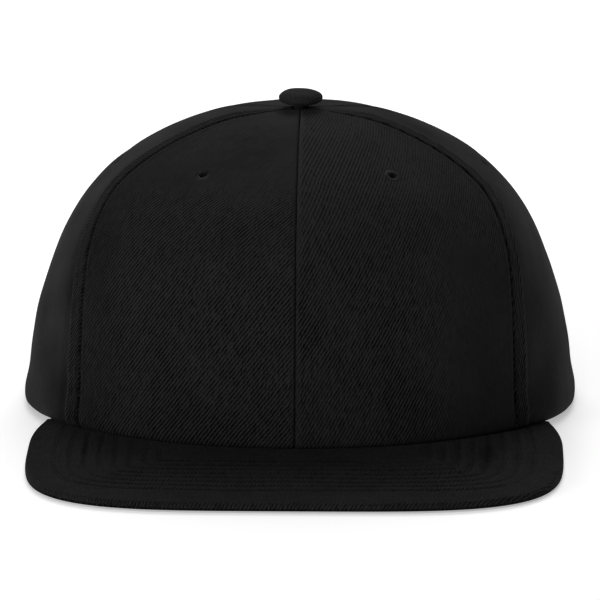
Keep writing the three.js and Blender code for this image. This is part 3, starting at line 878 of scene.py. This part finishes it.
def make_panel(first, name, bands, grain):
    """A panel as a closed shell: its face lifted by the relief, its back at the wall's
    depth. Its grid is close at the seams and the hem, with the eyelet's hole and half of
    the back's opening cut out of it."""
    panel = Panel(first)
    top = panel.length[-1]
    along = np.linspace(CELLS_FROM, top, int(top / CELL_ALONG))
    along = np.concatenate([HEM_STEPS, along])
    width = panel.width_at(along)[:, None]
    scale = np.minimum(1, width / (3 * EDGE_STEPS[-1]))
    edge = np.concatenate(
        [np.full_like(scale, EDGE_STEPS[0]), EDGE_STEPS[None, 1:] * scale], axis=1
    )
    count = int((panel.width.max() - 2 * EDGE_STEPS[-1]) / CELL_ACROSS)
    share = np.linspace(0, 1, count + 1)[None, 1:-1]
    middle = lerp(edge[:, -1:], width - edge[:, -1:], share)
    grid_u = np.concatenate([edge, middle, (width - edge)[:, ::-1]], axis=1) - width / 2
    grid_v = np.repeat(along[:, None], grid_u.shape[1], axis=1)
    keep = np.ones((grid_u.shape[0] - 1, grid_u.shape[1] - 1), bool)
    rise = FRONT_EYELET_RISE if first in (2, 3) else SIDE_EYELET_RISE
    height = float(np.interp(t_at_rise(rise), panel.t, panel.length))
    eyelet = (EYELET_ASIDE.get(first, 0.0), height)
    # the edge of the cloth lies inside the eyelet's thread
    trim(grid_u, grid_v, keep, round_hole(*eyelet, EYELET_RADIUS - 1))
    arch = arch_outline(panel) if first in (0, 5) else None
    if arch is not None:
        trim(grid_u, grid_v, keep, arch)
    lift = panel_relief(panel, grid_u, grid_v, bands, eyelet, arch)
    outer = panel.point(grid_u, grid_v, lift)
    # the turned-in allowances meet behind the seam, so no light comes through it
    meeting = grid_u.copy()
    meeting[:, [0, -1]] += [[-SEAM_GAP / 2, SEAM_GAP / 2]]
    inner = panel.point(meeting, grid_v, np.full_like(lift, -PANEL_WALL))
    place = cut_place(panel, grid_u, grid_v, grain)
    make_piece(
        f"{name}_panel_cloth", *shell(outer, inner, keep, place), CROWN_TWILL,
        f"{name}_panel", "crown_twill", panel_nap_and_paling(panel, grid_u, grid_v, bands),
    )
    return panel, eyelet


def make_eyelet(name, panel, eyelet):
    """A ring of satin stitches round a hole: a flattened tube about the crown's normal,
    its surface in radial ridges, one to a thread, of slightly uneven reach."""
    around, rings, threads = 216, 20, 44
    phi = np.arange(around) * 2 * math.pi / around
    turn = np.arange(rings) * 2 * math.pi / rings
    hole = 1.0 + 0.15 * np.cos(phi - 0.6) ** 2
    middle = (EYELET_RADIUS + hole) / 2
    half_width = (EYELET_RADIUS - hole) / 2
    half_height = PANEL_WALL / 2 + EYELET_PROUD - 0.1
    t = float(panel.height(eyelet[1]))
    angle = float(panel.angle(eyelet[0], eyelet[1]))
    normal = dome_normal(np.array(angle), np.array(t))
    centre = crown(np.array(angle), np.array(t), -PANEL_WALL / 2)
    ridge = 0.09 * np.abs(np.sin(phi * threads / 2))
    reach = 0.12 * ripple(phi * 9, phi * 4, 9, len(name)) * np.sin(phi / 2) ** 2
    outward = np.cos(turn)[:, None]
    radius = middle + half_width * squared(outward, 2.2) * (1 + reach) + 0.5 * ridge * outward
    height = (half_height - 0.42 + 0.6 * ridge) * squared(np.sin(turn), 2.4)[:, None]
    points = turned(centre, normal, radius, height, phi).reshape(-1, 3)
    # the ring after the last is the first again
    faces = ring_faces(rings + 1, around) % (rings * around)
    place = np.stack(np.broadcast_arrays(turn[:, None], phi * 2), -1).reshape(-1, 2)
    make_piece(
        f"{name}_eyelet_thread", points, [faces], place, EYELET_THREAD,
        f"{name}_eyelet", "eyelet_thread",
    )


def make_button():
    """A cloth-covered button: a dome on a short skirt and stem, turned about the crown's
    axis. The cloth is drawn into pleats round the skirt and lies a little uneven on top."""
    around = 144
    phi = np.arange(around) * 2 * math.pi / around
    turn = np.linspace(0, 1, 30) * math.pi / 2
    dome_r = BUTTON_RADIUS * np.cos(turn) ** 0.86
    dome_z = lerp(3.45, BUTTON_HEIGHT, np.sin(turn))
    # radius and height, up the stem, out along the underside and round to the dome
    profile = np.array(
        [
            [BUTTON_STEM, -BUTTON_STEM_DROP], [BUTTON_STEM, -1.5], [BUTTON_STEM, -0.2],
            [BUTTON_STEM + 0.3, 0.6], [4.0, 1.0], [5.2, 1.3], [6.1, 1.6], [6.8, 1.95],
            [7.2, 2.3], [7.43, 2.7], [7.5, 3.1],
        ]
    )
    profile = np.concatenate([profile, np.stack([dome_r, dome_z], -1)[:-1]])
    radius, height = profile[:, :1], profile[:, 1:]
    along = length_along(profile)[:, None]
    up = along[-1] - along + radius[-1]
    pleat = np.cos(17 * phi + 2 * np.sin(3 * phi))
    pleat = 0.09 * bell(height, 1.9, 0.8) * (radius > 5) * pleat
    uneven = 0.1 * ripple(radius * np.cos(phi), radius * np.sin(phi), 8, 5) * (radius > 3)
    r = radius + pleat + 0.5 * uneven
    z = height + uneven * smoothstep(height, 0.5, 3)
    middle = np.array([0, APEX_SETBACK, APEX_HEIGHT + SEAT_GAP])
    grid = middle + np.stack([r * np.cos(phi), r * np.sin(phi), z], -1)
    poles = middle + [[0, 0, -BUTTON_STEM_DROP], [0, 0, BUTTON_HEIGHT]]
    place = np.stack([up * np.cos(phi), up * np.sin(phi)], -1).reshape(-1, 2)
    make_piece(
        "top_button_cloth", *closed(grid, poles), np.pad(place, [(0, 2), (0, 0)]),
        BUTTON_TWILL, "top_button", "button_cloth",
    )


# Peak


def peak_inner(side):
    """The peak's edge under the crown: the inner face of the wall, between the horns."""
    return crown(side * PEAK_HORN_ANGLE, np.zeros_like(side), -PANEL_WALL)


def peak_outer(side):
    """The peak's outline: a squarish corner ahead of the widest place, and straight from
    there back to the horns."""
    horn = crown(np.array(PEAK_HORN_ANGLE), np.array(0.0), PEAK_HORN_OVERHANG)
    widest, tip = -CROWN_FRONT + PEAK_WIDEST_BEHIND, -CROWN_FRONT - PEAK_DEPTH
    along = np.abs(side)
    behind = np.clip((along - PEAK_CORNER_SHARE) / (1 - PEAK_CORNER_SHARE), 0, 1)
    turn = smoothstep(along, 0, PEAK_CORNER_SHARE) * math.pi / 2
    x = PEAK_HALF_WIDTH * squared(np.sin(turn), PEAK_SQUARENESS)
    y = lerp(widest, tip, squared(np.cos(turn), PEAK_SQUARENESS))
    x = np.where(behind > 0, lerp(PEAK_HALF_WIDTH, horn[0], behind**2), x)
    y = np.where(behind > 0, lerp(widest, horn[1], behind), y)
    return np.stack([np.sign(side) * x, y], -1)


def peak_outline():
    """The outline evenly spaced and made wider on each side, with its length along."""
    fine = peak_outer(np.linspace(-1, 1, 4001))
    along = length_along(fine)
    even = np.linspace(0, along[-1], 700)
    line = np.stack([np.interp(even, along, fine[:, k]) for k in range(2)], -1)
    return line * [1 + PEAK_ROW_SPREAD / PEAK_HALF_WIDTH, 1], even


def peak_rows_relief(plan):
    """The lift of the peak's face, and how pale it is painted. Each row of stitches draws a
    narrow, dark furrow at a fixed distance from the outline, deeper at each stitch, painted
    darker as shade and dirt in it, and the cloth swells beside it with a painted highlight
    along the swell. The rows are fainter down the sides, apart from one crease; the dent is
    painted darker as shade; and painted shade darkens the cloth where the crown shelters it."""
    line, along = peak_outline()
    flat = plan.reshape(-1, 2)
    nearest = np.empty(len(flat), int)
    far = np.empty(len(flat))
    chunk = 8192  # points at a time, to save memory
    for start in range(0, len(flat), chunk):
        part = slice(start, start + chunk)
        gap = ((flat[part, None] - line[None]) ** 2).sum(-1)
        nearest[part] = gap.argmin(1)
        far[part] = np.sqrt(gap.min(1))
    far, along = far.reshape(plan.shape[:-1]), along[nearest].reshape(plan.shape[:-1])
    x, y = plan[..., 0], plan[..., 1]
    aside = np.abs(x - line[nearest, 0].reshape(x.shape)) / far
    aside = smoothstep(aside, 0.4, 0.9)
    furrow = sum(bell(far, row, 0.9) for row in PEAK_ROWS)
    sewn = smoothstep(far, PEAK_ROWS[0] - 4, PEAK_ROWS[0])
    stitch = 1 + 0.12 * np.cos(2 * math.pi * along / STITCH_PITCH)
    strong = bell(x, PEAK_CREASE[0], 3.5) * bell(y, PEAK_CREASE[1], 14)
    strength = 0.6 - 0.38 * aside + 0.12 * ripple(x, y, 25, 31) + 0.6 * strong
    lift = -strength * furrow * stitch + 0.1 * sewn
    lift = lift + 0.14 * ripple(x, y, 30, 32) + 0.07 * ripple(x, y, 9, 33)
    slant = 0.05 * (y - PEAK_DENT[1])
    dent = bell(x - slant, PEAK_DENT[0], 2.6) * bell(y, PEAK_DENT[1], 13)
    lift = lift - 1.1 * dent
    # painted highlight along the swell outside each furrow, painted shade and dirt in the
    # furrows, and painted shade in the dent
    ridge_highlight = sum(bell(far, row - 1.5, 0.8) for row in PEAK_ROWS)
    tint = 1 - 0.6 * aside + 0.3 * ripple(x, y, 14, 35) + 1.3 * strong
    pale = (0.14 * ridge_highlight - 0.2 * furrow) * tint - 0.22 * dent
    # painted shade on the peak near the crown, where the crown shelters it
    crown_edge = crown(np.arctan2(x, -y), np.zeros_like(x), 0.0)
    gap = np.hypot(x - crown_edge[..., 0], y - crown_edge[..., 1])
    pale = pale - 0.12 * (1 - smoothstep(gap, 8, 26)) * bell(x, 0, 55)
    return lift, pale


def make_peak():
    """The peak, ruled from under the crown to its outline and rounded over at the edge.
    Both faces carry the stitched rows; the lower one is shallower, so it stays level."""
    columns, rows, edge_rows = 380, 92, 10
    side = np.linspace(-1, 1, columns + 1)
    inner = peak_inner(side)[:, :2]
    outer = peak_outer(side)
    seat = crown(side * PEAK_HORN_ANGLE, np.zeros_like(side), 0.0)[:, 2] - SEAT_GAP / 6
    thickness = np.minimum(PEAK_THICKNESS, seat)
    length = np.hypot(*(outer - inner).T)
    edge = np.minimum(PEAK_EDGE_ROUND / length, 0.3)
    share = np.linspace(0, 1, rows + 1)[:-1, None] * (1 - edge)
    turn = np.linspace(0, 1, edge_rows)[:, None] * math.pi / 2
    depth = np.concatenate([share, 1 - edge * (1 - np.sin(turn))])
    drop = np.concatenate([0 * share, PEAK_EDGE_ROUND * (1 - np.cos(turn)) + 0 * edge])
    over = np.concatenate([0 * share, PEAK_EDGE_ROUND * (turn - np.sin(turn)) + 0 * edge])
    plan = inner + (outer - inner) * depth[..., None]
    top = lerp(seat, thickness, np.minimum(1, depth / PEAK_FLAT_FROM))
    half = thickness / 2
    relief, pale = peak_rows_relief(plan)
    relief = relief * smoothstep(1 - depth, 0, 3 / length)
    hidden = smoothstep(depth * length, 1.0, 3.0)
    drop = np.minimum(drop, half * 0.97)
    middle = top - half
    upper = top - drop + relief * hidden
    tucked = 0.25 + 0.55 * (1 - smoothstep((1 - depth) * length, 0, 7))
    lower = middle - half + np.maximum(drop, tucked)
    lower = np.minimum(lower + np.maximum(0.3 * relief * hidden, 0), middle - 0.03)
    upper_face = np.concatenate([plan, upper[..., None]], -1).reshape(-1, 3)
    lower_face = np.concatenate([plan, np.maximum(lower, 0)[..., None]], -1).reshape(-1, 3)
    # the cloth runs on over the edge, so the lower face lies beyond the upper one on it
    way = unit(outer - inner)
    beyond = 2 * over[-1] - over
    mirrored = plan * [1, -1] - [0, 2 * (CROWN_FRONT + PEAK_DEPTH)]
    upper_cloth = (plan + way * over[..., None]).reshape(-1, 2)
    lower_cloth = (mirrored + way * beyond[..., None]).reshape(-1, 2)
    keep = np.ones((depth.shape[0] - 1, columns), bool)
    points, faces, cloth = shell(upper_face, lower_face, keep, upper_cloth, lower_cloth)
    # the lower face is painted darker round the rounded edge, as shade under it
    nap_and_paling = {
        "nap": np.full(2 * depth.size, 0.5),
        "pale": np.concatenate([pale.reshape(-1), -0.3 * (drop > 0).reshape(-1)]),
    }
    # columns run to +X and rows towards -Y, so the upper face looks up once it is turned
    make_piece(
        "peak_cloth", points, [faces[0][:, ::-1]], cloth, PEAK_TWILL, "peak", "peak_twill",
        nap_and_paling,
    )
    return upper_face, lower_face


def peak_row_paths(upper_face, lower_face):
    """The rows of stitches in plan: the outline moved inwards, kept where nothing lies
    nearer to it and where it is clear of the crown, at the height of the nearest points of
    the upper and lower faces."""
    line, _ = peak_outline()
    tangent = unit(np.gradient(line, axis=0))
    inward = np.stack([-tangent[:, 1], tangent[:, 0]], -1)
    paths = []
    for row in PEAK_ROWS:
        path = line + inward * row
        gap = np.sqrt(((path[:, None] - line[None]) ** 2).sum(-1)).min(1)
        rim = (np.abs(path) / [CROWN_HALF_WIDTH, CROWN_FRONT]) ** PLAN_SQUARENESS
        clear = (rim.sum(1) > 1.03) & (gap > row - 0.05) & (path[:, 1] < -44)
        path = path[clear]
        nearest = ((path[:, None] - upper_face[None, :, :2]) ** 2).sum(-1).argmin(1)
        for face, way in ((upper_face, 1), (lower_face, -1)):
            height = face[nearest, 2]
            points = np.concatenate([path, height[:, None]], -1)
            paths.append((points, np.tile([0.0, 0.0, float(way)], (len(path), 1))))
    return paths


# Inside and back


def make_sweatband():
    """The band inside the rim: a level strip a little inside the panels, open behind the
    strap's roots, its lower edge rolled, with a slight ripple along it."""
    end = float(angle_at_arc(np.array(ROOT_ARC + 2 * SEAT_GAP)))
    angle = np.linspace(-end, end, 361)[None]
    height = np.array(
        [FLOOR_GAP, 1.3, 1.8, 2.6, 4, 6, 9, 12, 16, 20, 24, 27, 29, 30.2, 31, 31.6,
         SWEATBAND_HEIGHT]
    )[:, None]
    arc = angle * SWEATBAND_RADIUS
    edge = np.minimum(height - FLOOR_GAP, SWEATBAND_HEIGHT - height)
    edge = 1 - smoothstep(edge, 0, 0.9)
    wave = 0.12 * ripple(arc, height, 26, 41) - 0.2 * bell(height, 27.5, 0.8)
    middle = PANEL_WALL + LINING_GAP + SWEATBAND_THICKNESS / 2
    angle_grid, height_grid = np.broadcast_arrays(angle, height)
    half = SWEATBAND_THICKNESS / 2 * (1 - 0.5 * edge) + 0 * angle_grid
    outer = inside_crown(angle_grid, height_grid, middle - half)
    inner = inside_crown(angle_grid, height_grid, middle + half + np.minimum(wave, 0.1))
    place = np.stack(np.broadcast_arrays(arc, height), -1).reshape(-1, 2)
    keep = np.ones((len(height) - 1, angle.shape[1] - 1), bool)
    make_piece(
        "sweatband_cloth", *shell(outer, inner, keep, place), BAND_CLOTH, "sweatband",
        "sweatband_cloth",
    )


def strap_half(side, depth, holes):
    """Half of the strap: a level strip from behind its panel to a round tip past the
    middle, with rounded edges, a faint rib inside them, and round holes at the given
    distances along the rim."""
    radius = STRAP_HEIGHT / 2
    bend = radius - STRAP_OVERLAP / 2
    tip = bend - radius * np.sin(np.linspace(0, 0.5, 22) * math.pi)
    arc = np.concatenate([np.linspace(ROOT_ARC, bend, 130)[:-1], tip])
    reach = np.sqrt(np.clip(radius**2 - np.minimum(arc - bend, 0) ** 2, 0, None))
    # the rows lie closer to each other near the long edges
    rows = 37
    share = np.sin(np.linspace(-0.5, 0.5, rows) * math.pi)[:, None]
    share = lerp(share, np.linspace(-1, 1, rows)[:, None], 0.6)
    grid_u = np.broadcast_to(arc, (rows, len(arc))).copy()
    grid_v = share * np.maximum(reach, 0.6)
    if side < 0:
        grid_u, grid_v = grid_u[:, ::-1].copy(), grid_v[:, ::-1].copy()
    keep = np.ones((rows - 1, len(arc) - 1), bool)
    for hole in holes:
        trim(grid_u, grid_v, keep, round_hole(hole, 0, STRAP_HOLE), lowest=-radius)
    limit = np.sqrt(np.clip(radius**2 - np.minimum(grid_u - bend, 0) ** 2, 0.3, None))
    from_edge = limit - np.abs(grid_v)
    for hole in holes:
        from_edge = np.minimum(from_edge, np.hypot(grid_u - hole, grid_v) - STRAP_HOLE)
    from_edge = np.maximum(from_edge, 0)
    outside = 1 - np.minimum(from_edge / 0.5, 1)
    rounding = 0.35 * (1 - np.sqrt(1 - outside**2))
    rib = 0.12 * bell(from_edge, 1.3, 0.5)
    height = FLOOR_GAP + radius + grid_v
    angle = angle_at_arc(side * grid_u)
    outer = inside_crown(angle, height, depth + rounding - rib)
    inner = inside_crown(angle, height, depth + STRAP_THICKNESS - rounding)
    place = np.stack([side * grid_u, grid_v], -1).reshape(-1, 2)
    return shell(outer, inner, keep, place)


def strap_stud(arc, depth, top):
    """A snap stud: a waisted post with a domed head, turned about the strap's normal."""
    around = 32
    phi = np.arange(around) * 2 * math.pi / around
    rise = depth - top
    # radius and height, up the post, over the head and into the dimple at its middle
    profile = np.array(
        [
            [1.75, 0.0], [1.7, 0.25 * rise], [1.9, 0.45 * rise], [2.2, 0.6 * rise],
            [2.3, 0.74 * rise], [2.2, 0.88 * rise], [1.9, 0.97 * rise], [1.3, rise],
            [0.9, rise - 0.05], [0.6, rise - 0.22], [0.3, rise - 0.26],
        ]
    )
    angle = angle_at_arc(np.array(float(arc)))
    normal = dome_normal(angle, np.array(0.0))
    centre = inside_crown(angle, np.array(FLOOR_GAP + STRAP_HEIGHT / 2), np.array(depth))
    grid = turned(centre, normal, profile[:, :1], profile[:, 1:], phi)
    points, faces = closed(grid, [centre, centre + normal * profile[-1, 1]])
    return points, faces, points[:, [0, 2]]


def make_strap():
    """The snap strap: the outer half with two free holes, the inner half behind it, and its
    seven studs, five of them pressed through the outer half."""
    outer_depth = PANEL_WALL + LINING_GAP
    inner_depth = outer_depth + STRAP_THICKNESS
    snapped = round(STRAP_OVERLAP / STUD_PITCH) - 1
    arcs = (np.arange(STUD_COUNT) - (snapped - 1) / 2) * STUD_PITCH
    parts = [strap_half(-1, outer_depth, arcs[snapped:]), strap_half(1, inner_depth, [])]
    for arc in arcs:
        parts.append(strap_stud(arc, inner_depth + 0.1, outer_depth - STUD_HEIGHT))
    make_piece(
        "snap_strap_plastic", *joined(parts), STRAP_PLASTIC, "snap_strap", "strap_plastic"
    )


def back_point(x, z, lift):
    """The point of the crown's back face at that x and height: the height gives t, and x
    over the section's half width, to the power of the squareness over 2, gives the sine."""
    t = t_at_rise(z / APEX_HEIGHT)
    share = np.abs(x) / (CROWN_HALF_WIDTH * section("side", t))
    angle = math.pi - np.arcsin(np.clip(share ** (PLAN_SQUARENESS / 2), 0, 1))
    angle = np.where(x < 0, -angle, angle)
    return crown(angle, t, lift), dome_normal(angle, t)


def arch_stitches():
    """A row of stitches beside the edge of the opening at the back, on an ellipse that is
    wider and higher than it by the inset."""
    turn = np.linspace(0.04, 0.485, 160) * math.pi
    sides = []
    for side in (-1, 1):
        x = side * (ARCH_HALF_WIDTH + ARCH_STITCH_INSET) * np.cos(turn)
        z = (ARCH_HEIGHT + ARCH_STITCH_INSET) * np.sin(turn)
        sides.append(stitches(*back_point(x, z, -0.2)))
    return joined(sides)


# Camera: the photograph's, thirteen degrees above the floor and almost square to the front
PICTURE_WIDTH = 600
PIXEL = 0.34289  # what one covers at the target
CAMERA_DISTANCE = 2400.0
target = Vector((-0.144, 29.6, 34.384)) * MM
yaw, elevation = math.radians(1.167), math.radians(12.958)
back = Vector(
    (
        math.sin(yaw) * math.cos(elevation),
        -math.cos(yaw) * math.cos(elevation),
        math.sin(elevation),
    )
)
lens = bpy.data.cameras.new("photo_camera")
lens.sensor_width = 36.0
lens.lens = lens.sensor_width * CAMERA_DISTANCE / (PICTURE_WIDTH * PIXEL)
lens.clip_start, lens.clip_end = 0.05, 50.0
camera = bpy.data.objects.new("photo_camera", lens)
camera.location = target + back * CAMERA_DISTANCE * MM
camera.rotation_mode = "QUATERNION"
camera.rotation_quaternion = (-back).to_track_quat("-Z", "Y")
bpy.context.collection.objects.link(camera)
bpy.context.scene.camera = camera

# Making
for number, (name, bands, grain) in enumerate(PANELS):
    panel, eyelet = make_panel(number, name, bands, grain)
    make_eyelet(name, panel, eyelet)
make_button()
faces_of_peak = make_peak()
rows_of_peak = joined(
    [stitches(*path, radius=0.17, sink=0.06) for path in peak_row_paths(*faces_of_peak)]
)
make_piece("peak_stitches", *rows_of_peak, SEWING_THREAD, None, "peak_twill")
make_piece("arch_stitches", *arch_stitches(), SEWING_THREAD, None, "crown_twill")
make_sweatband()
make_strap()


# Floor, light and view


def make_floor():
    """A wide, pale, matt floor that glows a little, so it stays near white. Under the cap
    the glow dies away as painted shade, with the distance from the crown's middle as a
    share of its reach."""
    shader = {
        "Base Color": linear("#f2f2f2"),
        "Roughness": 0.9,
        "Specular IOR Level": 0.1,
        "Emission Color": linear("#ffffff"),
    }
    material, tree, surface = new_material("pale_matt_floor", shader)
    middle = (CROWN_BACK - CROWN_FRONT) / 2 + BACK_STEP
    reach = (CROWN_BACK + CROWN_FRONT) / 2
    place = {
        "Vector": node(tree, "ShaderNodeTexCoord").outputs["Object"],
        "Location": (0, -middle / reach, 0),
        "Scale": (1 / (CROWN_HALF_WIDTH * MM), 1 / (reach * MM), 0),
    }
    place = node(tree, "ShaderNodeMapping", place)
    share = node(tree, "ShaderNodeVectorMath", [place], operation="LENGTH")
    share = share.outputs["Value"]
    # painted shade under the cap: the glow falls to nothing inside the crown's reach
    glow = {"Value": share, "From Min": 0.72, "From Max": 0.97, "To Max": 0.4}
    glow = node(tree, "ShaderNodeMapRange", glow, interpolation_type="SMOOTHSTEP")
    tree.links.new(glow.outputs[0], surface.inputs["Emission Strength"])
    mesh = bpy.data.meshes.new("floor")
    far = 12.0
    corners = [(-far, -far, 0), (far, -far, 0), (far, far, 0), (-far, far, 0)]
    mesh.from_pydata(corners, [], [(0, 1, 2, 3)])
    mesh.materials.append(material)
    floor = bpy.data.objects.new("floor", mesh)
    bpy.context.collection.objects.link(floor)


def add_light(name, place, size, power):
    """A square soft box of white light at a place in metres, facing the cap."""
    light = bpy.data.lights.new(name, "AREA")
    light.shape = "SQUARE"
    light.size = size
    light.energy = power
    lamp = bpy.data.objects.new(name, light)
    lamp.location = place
    lamp.rotation_mode = "QUATERNION"
    way = Vector((0, 0, 0.05)) - Vector(place)
    lamp.rotation_quaternion = way.to_track_quat("-Z", "Y")
    bpy.context.collection.objects.link(lamp)


make_floor()
add_light("back_top_soft", (0.0, 1.5, 1.5), 1.2, 26.5)
add_light("front_high_soft", (0.0, -1.4, 1.5), 1.0, 10)
add_light("front_left_soft", (-1.5, -1.6, 0.5), 1.0, 20)
add_light("right_back_soft", (1.5, 1.3, 0.8), 1.0, 1.5)

world = bpy.data.worlds.new("studio_white")
world.use_nodes = True
sky = world.node_tree.nodes["Background"]
sky.inputs["Color"].default_value = linear("#ffffff")
sky.inputs["Strength"].default_value = 0.1
bpy.context.scene.world = world
bpy.context.scene.view_settings.view_transform = "Standard"
bpy.context.scene.view_settings.look = "None"
